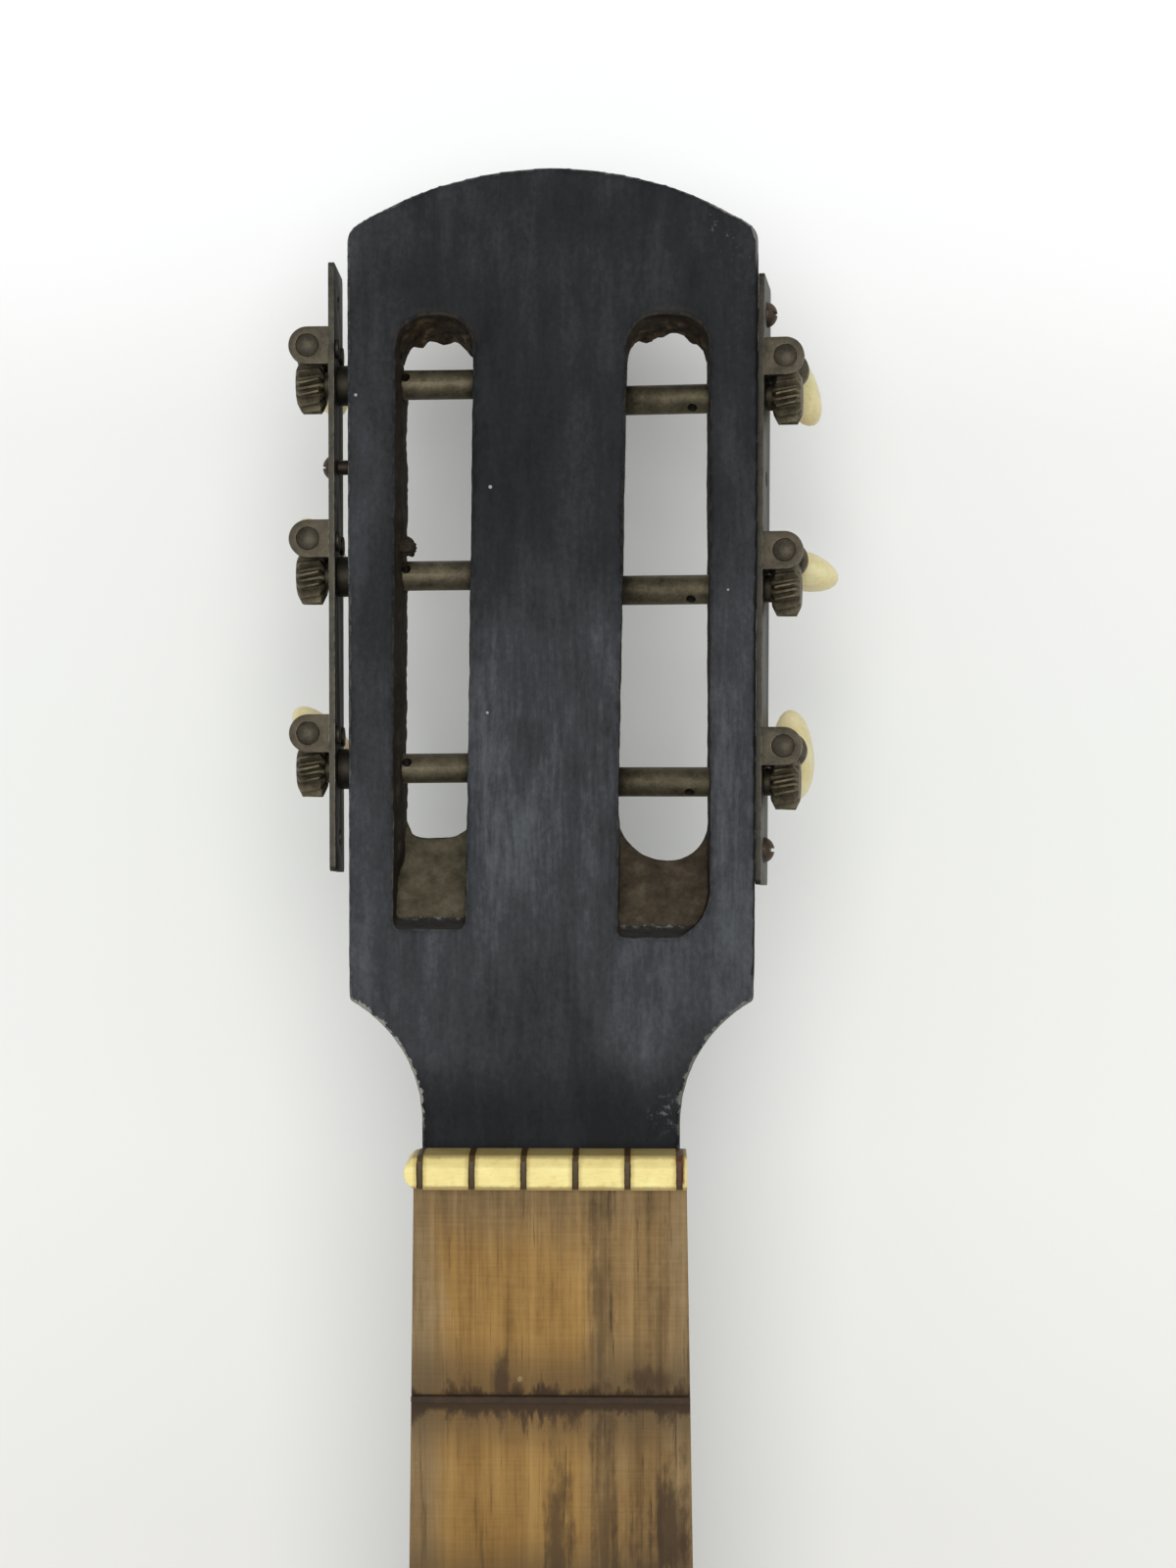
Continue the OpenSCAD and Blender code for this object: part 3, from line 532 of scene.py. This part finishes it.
def rubbed_stain():
    """The shaft's dark stain, rubbed brown where a hand has slid along it."""
    shaft = Finish("rubbed_stain")
    grain = shaft.noise(1.1, (1, 45, 1), detail=5)
    clouds = shaft.noise(34, (1, 3, 1), detail=5, roughness=0.65)
    rubbed = (clouds * 0.7 + grain * 0.3).rise(0.46, 0.68)
    colour = shaft.mix(rubbed * 0.75, shaft.ramp(grain, STAIN_DARK), shaft.ramp(grain, STAIN_BARE))
    worn = shaft.edges(0.8) * shaft.noise(4, detail=5).rise(0.45, 0.6)
    colour = shaft.mix(worn * 0.8, colour, STAIN_EDGE)
    roughness = 0.5 - rubbed * 0.1 + grain * 0.1
    return shaft.surface(colour, roughness, shaft.bump(grain, 0.1), constants={"Specular IOR Level": 0.4})


class BoardFinish(Finish):
    """A material with the way down from the nut, and the grain and blotches that its layers share."""

    def __init__(self, name):
        super().__init__(name)
        self.below_nut = NUT_Y - self.y
        self.pores = self.noise(0.3, (1, 60, 1), detail=3, roughness=0.6)
        self.grain = self.noise(1.3, (1, 40, 1), detail=5, roughness=0.62)
        self.bands = self.noise(6, (1, 26, 1), detail=4)
        self.mottle = self.noise(3.2, (1, 2.6, 1), detail=7, roughness=0.7, shift=17)
        self.clouds = self.noise(13, (1, 1.7, 1), detail=6, roughness=0.64)


def weathered_wood(board, tone):
    """Golden wood, grey at its edges, by the nut and on its right half, with dark pores and lines."""
    half_width = BOARD_HALF_WIDTH + board.below_nut * BOARD_WIDENING
    at_edge = (half_width - abs(board.x) - board.clouds * 7 - board.mottle * 4).fall(-4, 2)
    at_nut = (board.below_nut - board.clouds * 16 - board.mottle * 6).fall(-8, 5) * 0.85
    right_half = (board.x + (board.bands - 0.5) * 6).rise(4.5, 8) * (0.3 + board.mottle * 0.6)
    weathered = at_edge.larger(at_nut).larger(right_half)
    wood = board.mix(weathered, board.ramp(tone, BOARD_GOLDEN), board.ramp(tone, BOARD_GREY))
    dark_pores = board.pores.rise(0.55, 0.72) * board.mottle.rise(0.35, 0.65)
    wood = board.mix(dark_pores * 0.55, wood, BOARD_PORE)
    lines = board.noise(0.7, (1, 28, 1), detail=4, roughness=0.7, shift=11).rise(0.55, 0.66)
    clusters = board.noise(4.5, (1, 7, 1), detail=4, shift=3).rise(0.46, 0.58)
    wood = board.mix(lines * clusters * (0.5 + board.x.rise(-2, 8) * 0.4), wood, BOARD_LINE)
    return board.mix(board.below_nut.rise(36, 60) * 0.24, wood, BOARD_LOWER)


def dirt_by_frets(board, wood):
    """Adds a brown haze and spiky dirt along each fret, by the rule that also set the frets."""
    from_bridge = board.y - (NUT_Y - SCALE_LENGTH)
    frets_passed = board.math("LOGARITHM", SCALE_LENGTH / from_bridge, 2) * FRETS_PER_OCTAVE
    fret_step = from_bridge * (math.log(2) / FRETS_PER_OCTAVE)
    past_fret = (frets_passed - board.math("ROUND", frets_passed)) * fret_step
    kept_off_nut = board.below_nut.fall(9, 14) * 20
    to_fret = abs(past_fret - DIRT_BELOW_FRET) - FRET_HALF_WIDTH + kept_off_nut
    above_fret = past_fret.fall(-1, 1) * 1.5
    haze = (to_fret - board.clouds * 8 - board.mottle * 6 - above_fret).fall(-6, 4)
    wood = board.mix(haze * 0.66, wood, FRET_HAZE)
    spikes = board.noise(2.2, (1, 7, 1), detail=4, roughness=0.6, shift=4)
    reach = 1.0 + board.mottle.rise(0.42, 0.72) * 4.4 + spikes.rise(0.56, 0.76) * 7
    dirt = (to_fret / reach).fall(0.15, 1.2)
    return board.mix(dirt * 0.9, wood, FRET_DIRT)


def marks_of_use(board, wood):
    """Adds dark patches where a hand has held the board, and a few pale knocks."""
    smeared = (board.mottle - 0.5) * 2.4 + (board.grain - 0.5) * 1.6
    for x, y, half_x, half_y, amount in STAINS:
        spot = board.distance((board.x - x) / half_x, (board.y - y) / half_y) + smeared
        wood = board.mix(spot.fall(0.3, 1.3) * amount, wood, BOARD_STAIN)
    patches = board.noise(11, (1, 2.2, 1), detail=7, roughness=0.7, shift=5) + (board.grain - 0.5) * 0.4
    wood = board.mix(patches.rise(0.55, 0.72) * 0.6 * board.below_nut.rise(60, 90), wood, BOARD_PATCH)
    knocks = board.specks(12, 0.05, shift=2) * board.clouds.rise(0.45, 0.6)
    return board.mix(knocks * 0.5, wood, BOARD_KNOCK)


def worn_board():
    """A bare fingerboard: dark grain, grey where it is weathered, with dirt along each fret."""
    board = BoardFinish("worn_board")
    scratched = board.noise(0.45, (26, 1, 1), detail=3, shift=23)
    tone = board.grain * 0.26 + board.bands * 0.26 + board.mottle * 0.2
    tone = tone + board.clouds * 0.2 + scratched * 0.08
    colour = weathered_wood(board, tone)
    colour = dirt_by_frets(board, colour)
    colour = marks_of_use(board, colour)
    height = board.pores * -0.5 + board.grain * 0.5 + board.mottle * 0.3
    roughness = 0.6 + tone * 0.2
    return board.surface(colour, roughness, board.bump(height, 0.1), constants={"Specular IOR Level": 0.2})


# Metal and bone


def tarnished(name, colours, roughness=0.42, metallic=0.75, film_size=3.0, rub=0.8, dark_beyond=None):
    """Old yellow metal under a dull film, bright where it is rubbed, darkened in its hollows by painted shade with
    grime, and darkened beyond a given place by painted shade with some dirt.
    """
    metal = Finish(name)
    dark, light, bright = colours
    film = metal.noise(film_size, detail=6, roughness=0.68)
    fine = metal.noise(0.5, detail=4)
    colour = metal.ramp(film * 0.75 + fine * 0.25, ((0.35, dark), (0.65, light)))
    rubbed = metal.edges(0.25) * metal.noise(1.5, detail=4).rise(0.35, 0.6)
    colour = metal.mix(rubbed * rub, colour, bright)
    spots = metal.specks(1.6, 0.28) * film.rise(0.5, 0.7)
    colour = metal.mix(spots * 0.5, colour, METAL_SPOT)
    # Darkens hollows that little light reaches: painted shade, with grime
    colour = metal.mix(metal.crevices(2.5) * 0.7, colour, METAL_CREVICE_GRIME_AND_SHADE)
    # Painted shade, with some dirt, beyond a given place
    if dark_beyond:
        shaded_end = abs(metal.x).rise(dark_beyond, dark_beyond + 1)
        colour = metal.mix(shaded_end * 0.7, colour, METAL_SHADED_END)
    roughness = roughness + film * 0.25 - rubbed * 0.15
    return metal.surface(colour, roughness, metal.bump(film + fine, 0.03), metallic)


class BoneFinish(Finish):
    """Yellowed bone with fine fibres and dirt."""

    def __init__(self, name, pale, deep, dirty):
        super().__init__(name)
        self.fibres = self.noise(0.35, (6, 1, 1), detail=4)
        self.clouds = self.noise(4, detail=5, roughness=0.6)
        bone = self.ramp(self.clouds * 0.7 + self.fibres * 0.3, ((0.35, deep), (0.65, pale)))
        dirt = self.noise(1.6, detail=6, roughness=0.7).rise(0.56, 0.7)
        self.colour = self.mix(dirt * 0.35, bone, dirty)


def nut_bone():
    """The nut's bone, with painted shade round each block and beside its grooves, dark along its edges and in its
    grooves, with one chip.
    """
    nut = BoneFinish("nut_bone", *NUT_BONE)
    smear = nut.noise(1.2, detail=4) * 0.5
    past_near_edge = nut.y - NUT_Y
    past_far_edge = nut.y - HEAD_Y
    on_bevel = (past_far_edge + smear).rise(-1.5, -0.9)
    colour = nut.mix(on_bevel * 0.2, nut.colour, NUT_BEVEL)
    far_edge = (past_far_edge + smear).rise(-0.5, 0.1)
    colour = nut.mix(far_edge * 0.65, colour, NUT_FAR_EDGE)
    # Painted shade round each block's edges, so that the blocks look pillowed
    block_edge_shade = nut.edges(0.5) * nut.noise(0.9, detail=4).rise(0.3, 0.6)
    colour = nut.mix(block_edge_shade * 0.4, colour, NUT_PILLOW_SHADE)
    near_edge = (past_near_edge - smear).fall(0.1, 0.7)
    colour = nut.mix(near_edge * 0.75, colour, NUT_NEAR_EDGE)

    # The nearest groove lies half a pitch, or one and a half, or two and a half, from the middle
    turn = nut.x / STRING_PITCH + 0.5
    to_groove = abs(turn - nut.math("ROUND", turn)) * STRING_PITCH
    inner = abs(nut.x).fall(NUT_BLOCKS_END, NUT_BLOCKS_END + 0.4)
    # Painted shade beside each groove, for the same pillowed look
    groove_side_shade = (to_groove - smear).fall(0.4, 1.2) * inner
    colour = nut.mix(groove_side_shade * 0.4, colour, NUT_PILLOW_SHADE)
    in_groove = (to_groove - smear * 0.6).fall(0.28, 0.5) * inner
    colour = nut.mix(in_groove * 0.95, colour, NUT_GROOVE)
    chip = (nut.x + smear * 2).rise(21.7, 22) * (nut.x + smear).fall(22.7, 23.1)
    colour = nut.mix(chip * past_near_edge.rise(0.8, 1.6) * 0.85, colour, NUT_CHIP)
    normal = nut.bump(nut.fibres * 0.5 + nut.clouds, 0.06)
    constants = {"Subsurface Weight": 0.1, "Subsurface Scale": 0.5 * MM, "Specular IOR Level": 0.3}
    return nut.surface(colour, 0.4 + nut.clouds * 0.2, normal, constants=constants)


def button_bone():
    """The buttons' bone, dirty in its hollows."""
    button = BoneFinish("button_bone", *BUTTON_BONE)
    colour = button.mix(button.crevices(5) * 0.55, button.colour, BUTTON_CREVICE)
    normal = button.bump(button.fibres * 0.4 + button.clouds, 0.05)
    return button.surface(colour, 0.3 + button.clouds * 0.2, normal, constants={"Subsurface Weight": 0.15})


def make_finishes():
    finishes = {
        "paint": black_paint(),
        "stain": rubbed_stain(),
        "board": worn_board(),
        "nut": nut_bone(),
        "button": button_bone(),
    }
    for name, colours in METALS.items():
        finishes[name] = tarnished(name + "_metal", colours, **METAL_TRAITS.get(name, {}))
    return finishes


# Modelling


def only(piece):
    """Leaves one piece selected and active."""
    bpy.ops.object.select_all(action="DESELECT")
    piece.select_set(True)
    bpy.context.view_layer.objects.active = piece


@contextmanager
def editing(piece):
    """Edit mode on one piece, with all of it selected at first."""
    only(piece)
    bpy.ops.object.mode_set(mode="EDIT")
    bpy.ops.mesh.select_all(action="SELECT")
    yield
    bpy.ops.object.mode_set(mode="OBJECT")


def smooth(piece, angle_deg=30):
    """Shades a piece smooth over edges that turn by less than an angle."""
    only(piece)
    bpy.ops.object.shade_smooth_by_angle(angle=math.radians(angle_deg))


def softened(node, kind):
    """A copy of a CAD node with its faces joined and its sharp edges rounded off."""
    edge, segments = EDGES[kind]
    piece = bpy.data.objects.new("soft_" + node, frame["nodes"][node].data.copy())
    bpy.context.scene.collection.objects.link(piece)
    with editing(piece):
        bpy.ops.mesh.remove_doubles(threshold=SAME_PLACE * MM)
        bpy.ops.mesh.dissolve_limited(angle_limit=math.radians(FLAT_JOINT_DEG))
        bpy.ops.mesh.select_all(action="DESELECT")
        bpy.ops.mesh.select_mode(type="EDGE")
        bpy.ops.mesh.edges_select_sharp(sharpness=math.radians(SHARP_EDGE_DEG))
        bpy.ops.mesh.bevel(offset=edge * MM, segments=segments, profile=BEVEL_PROFILE, clamp_overlap=True)
    smooth(piece)
    return piece


def head_place(point):
    """Where a point lies on the head: to the side, up along it and below its face, in millimetres."""
    x, y, z = (c / MM for c in point)
    y -= HEAD_Y
    return x, y * HEAD_COSINE - z * HEAD_SINE, -y * HEAD_SINE - z * HEAD_COSINE


def head_vector(x, along, depth):
    """The step in space for a step in millimetres on the head."""
    y = along * HEAD_COSINE - depth * HEAD_SINE
    z = -along * HEAD_SINE - depth * HEAD_COSINE
    return Vector((x, y, z)) * MM


def step(value, low, high):
    """0 below low, 1 above high, and a soft step between them."""
    t = min(max((value - low) / (high - low), 0), 1)
    return t * t * (3 - 2 * t)


def evenly_meshed(piece, grid_size):
    """Gives a piece new faces, all of about one size."""
    only(piece)
    grid = piece.modifiers.new("even_grid", "REMESH")
    grid.mode = "VOXEL"
    grid.voxel_size = grid_size * MM
    bpy.ops.object.modifier_apply(modifier=grid.name)


def thinned(piece, share):
    """Merges the smallest and flattest faces until a share of them is left."""
    only(piece)
    thin = piece.modifiers.new("thin", "DECIMATE")
    thin.ratio = share
    bpy.ops.object.modifier_apply(modifier=thin.name)


class HeadSpot:
    """A spot on the head: its place, which way it faces, and how rough the wood is there."""

    FRONT = head_vector(0, 0, -1).normalized()

    def __init__(self, vertex):
        self.x, self.along, self.depth = head_place(vertex.co)
        self.at = vertex.co / MM
        self.normal = vertex.normal.copy()
        facing = abs(self.normal.dot(self.FRONT))
        self.sideways = 1 - facing
        self.on_edge = step(self.sideways, 0.03, 0.25) * step(facing, 0.1, 0.4)
        self.fine = self.rough(1.1)
        self.broad = self.rough(3.7)

    def rough(self, size):
        """Lumps of about a size, from -1 to 1."""
        return noise.noise(self.at / size)

    def in_slot(self):
        across = SLOTS_ACROSS[0] < abs(self.x) < SLOTS_ACROSS[1]
        return across and SLOTS_ALONG[0] < self.along < SLOTS_ALONG[1]


def slot_wear(spot):
    """How a spot in a slot moves: wavy walls, torn upper ends, and a left outer wall that leans in."""
    wall = step(spot.sideways, 0.1, 0.5)
    push = (spot.fine * 0.06 + spot.broad * 0.15) * wall - max(spot.fine, 0) * 0.3 * spot.on_edge
    move = spot.normal * push * MM
    at_end = step(spot.along, SLOT_END - 6, SLOT_END - 3.5) * wall * step(spot.depth, 0.8, 3)
    ledge = 1.5 * step(spot.depth, 3, 11) if spot.x < 0 else 0.5
    ledge += 1.5 * spot.rough(3.4) + 0.7 * spot.rough(1.7)
    move += head_vector(0, -max(ledge, -0.6) * at_end, 0)
    below_end = step(SLOT_END - 5 - spot.along, 0, 5)
    outer_left = step(-spot.x, 25, 26.5) * wall * step(spot.along, 46, 52) * below_end
    lean = (WALL_LEAN + spot.rough(9) * 0.6 + spot.fine * 0.15) * step(spot.depth, 1, 5)
    return move + head_vector(lean * outer_left, 0, 0)


def edge_wear(spot):
    """How a spot outside the slots moves: chipped edges, and a right side that meets its strip."""
    shoulder = step(-spot.x, 20, 24) * step(spot.along, 2, 5) * step(28 - spot.along, 0, 4)
    corner = step(spot.x, 24, 30) * step(spot.along, 148, 154)
    on_arch = 0.3 * step(spot.along, 148, 152)
    chips = max(spot.fine + spot.broad * 0.6 - 0.15, 0) * max(shoulder, corner, on_arch)
    along_strip = step(spot.along - STRIP_ALONG[0], 0, 2) * step(STRIP_ALONG[1] - spot.along, 0, 2)
    beside_strip = step(spot.x, 30, 33) * along_strip * step(spot.sideways, 0.5, 0.9)
    return spot.normal * (-chips * spot.on_edge + STRIP_SEAT * beside_strip) * MM


def worn_head():
    """The head with wavy slot walls, torn slot ends and chipped edges."""
    piece = softened("headstock", "headstock")
    evenly_meshed(piece, WEAR_GRID)
    spots = [HeadSpot(vertex) for vertex in piece.data.vertices]
    for vertex, spot in zip(piece.data.vertices, spots):
        vertex.co += slot_wear(spot) if spot.in_slot() else edge_wear(spot)
    thinned(piece, FACES_KEPT)
    smooth(piece, 180)
    return piece


def grooved_nut():
    """The nut with pillowed blocks between narrow grooves."""
    piece = softened("nut", "nut")
    with editing(piece):
        bpy.ops.mesh.dissolve_degenerate(threshold=SLIVER * MM)
    for vertex in piece.data.vertices:
        x = vertex.co.x / MM
        turn = x / STRING_PITCH + 0.5
        off_groove = (turn - round(turn)) * STRING_PITCH
        if abs(off_groove) < GROOVE_REACH and abs(x) < NUT_BLOCKS_END:
            vertex.co.x -= off_groove * GROOVE_CLOSING * MM
    return piece


def eased_roller(name):
    """A roller drawn in a little beyond the head's side, so that it turns free of its strip."""
    piece = softened(name + "roller", "roller")
    joint = JOINTS[name + "spool_turn"]
    middle = Vector(joint["pos_m"])
    axis = Vector(joint["axis"]).normalized()
    for vertex in piece.data.vertices:
        off = vertex.co - middle
        outward = off - axis * off.dot(axis)
        if abs(vertex.co.x) > HEAD_SIDE * MM and outward.length > 1 * MM:
            vertex.co -= outward.normalized() * ROLLER_ROOM * MM
    return piece


def torn_lug():
    """A lump of torn wood on the left slot's outer wall, above the middle roller."""
    bpy.ops.object.select_all(action="DESELECT")
    bpy.ops.mesh.primitive_ico_sphere_add(subdivisions=5, radius=1)
    piece = bpy.context.object
    piece.name = "torn_lug"
    middle = Vector((0, HEAD_Y * MM, 0)) + head_vector(*LUG_PLACE)
    for vertex in piece.data.vertices:
        way = vertex.co.normalized()
        lumps = 1 + 0.34 * noise.noise(way * 1.6) + 0.2 * noise.noise(way * 3.4)
        lumps += 0.07 * noise.noise(way * 8)
        reach = [size * share for size, share in zip(LUG_SIZE, way)]
        vertex.co = middle + head_vector(*reach) * lumps
    with editing(piece):
        bpy.ops.mesh.normals_make_consistent(inside=False)
    smooth(piece, 180)
    return piece


def dress(piece, node, material):
    """Puts a finished piece in the place of a CAD node, on its body and in its material slot."""
    piece.data.materials.clear()
    piece.data.materials.append(material)
    body = next(name for name, nodes in RECORD["behaviour"]["bodies"].items() if node in nodes)
    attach(piece, body)
    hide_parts(node)


def make_neck(finishes):
    dress(worn_head(), "headstock", finishes["paint"])
    lug = torn_lug()
    lug.data.materials.append(finishes["paint"])
    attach(lug, "neck")
    for node, finish in (("neck_shaft", "stain"), ("fingerboard", "board"), ("frets", "fret")):
        dress(softened(node, node), node, finishes[finish])
    dress(grooved_nut(), "nut", finishes["nut"])


def make_tuner(name, finishes):
    """One tuner, whose pieces' names all start with a side and a place."""
    for kind in ("bracket", "worm", "gear"):
        dress(softened(name + kind, kind), name + kind, finishes[kind])
    dress(softened(name + "gear_screw", "gear_screw"), name + "gear_screw", finishes["screw"])
    dress(eased_roller(name), name + "roller", finishes["roller"])
    dress(softened(name + "button", "button"), name + "button", finishes["button"])


def make_tuners(finishes):
    for side in SIDES:
        dress(softened(side + "_plate", "plate"), side + "_plate", finishes[side + "_strip"])
        for place in PLACES:
            make_tuner(f"{side}_{place}_", finishes)
    for screws in ("left_plate_screw", "right_plate_screws"):
        dress(softened(screws, "plate_screw"), screws, finishes["screw"])


# The picture


def make_camera():
    camera = bpy.data.objects.new("photo_camera", bpy.data.cameras.new("photo_camera"))
    bpy.context.scene.collection.objects.link(camera)
    camera.location = [c * MM for c in CAMERA_AT]
    camera.rotation_euler = [math.radians(a) for a in CAMERA_TURN_DEG]
    camera.data.lens = CAMERA_LENS
    camera.data.sensor_width = CAMERA_SENSOR
    camera.data.clip_start = CAMERA_NEAREST * MM
    bpy.context.scene.camera = camera


def make_light(name, way, strength, softness_deg):
    """Parallel light that comes along a way, with the soft shadows of a large lamp."""
    light = bpy.data.lights.new(name, "SUN")
    light.energy = strength
    light.angle = math.radians(softness_deg)
    lamp = bpy.data.objects.new(name, light)
    bpy.context.scene.collection.objects.link(lamp)
    lamp.rotation_euler = Vector(way).to_track_quat("-Z", "Y").to_euler()


def floor_paper():
    """Pale paper with a painted pool of light, whitest just beyond the head, and of one tone far off."""
    paper = Finish("floor_paper")
    cloudy = (paper.noise(150, detail=2) - 0.5) * 0.1
    up_the_picture = (paper.y - PAPER_START_Y) / PAPER_LENGTH + cloudy
    far_off = paper.distance(paper.x, paper.y - PAPER_MIDDLE_Y).rise(300, 900)
    colour = paper.ramp(up_the_picture * (1 - far_off) + far_off * 0.5, PAPER_LIGHT_POOL)
    return paper.surface(colour, 0.9, constants={"Specular IOR Level": 0.1})


def make_floor():
    bpy.ops.object.select_all(action="DESELECT")
    bpy.ops.mesh.primitive_plane_add(size=FLOOR_SIZE * MM, location=(0, 0, 0))
    floor = bpy.context.object
    floor.name = "floor"
    for vertex in floor.data.vertices:
        vertex.co.z = FLOOR_Z * MM
    floor.data.materials.append(floor_paper())


def make_world():
    """Even light from all round, and a pale backdrop that only the camera sees."""
    world = bpy.data.worlds.new("studio")
    bpy.context.scene.world = world
    nodes = Nodes(world)
    light = nodes.make("Background", (), {"Color": ROOM_LIGHT, "Strength": ROOM_STRENGTH})
    backdrop = nodes.make("Background", (), {"Color": BACKDROP, "Strength": 1})
    seen = nodes.make("LightPath", out="Is Camera Ray")
    room = nodes.make("MixShader", (), {0: seen, 1: light, 2: backdrop})
    nodes.make("OutputWorld", (), {"Surface": room})


def make_studio():
    """A wide soft lamp over the neck, in a pale room."""
    make_floor()
    make_world()
    make_light("ceiling", CEILING_WAY, CEILING_STRENGTH, CEILING_SOFTNESS_DEG)
    bpy.context.scene.view_settings.view_transform = "Standard"


FINISHES = make_finishes()
make_camera()
make_studio()
make_neck(FINISHES)
make_tuners(FINISHES)
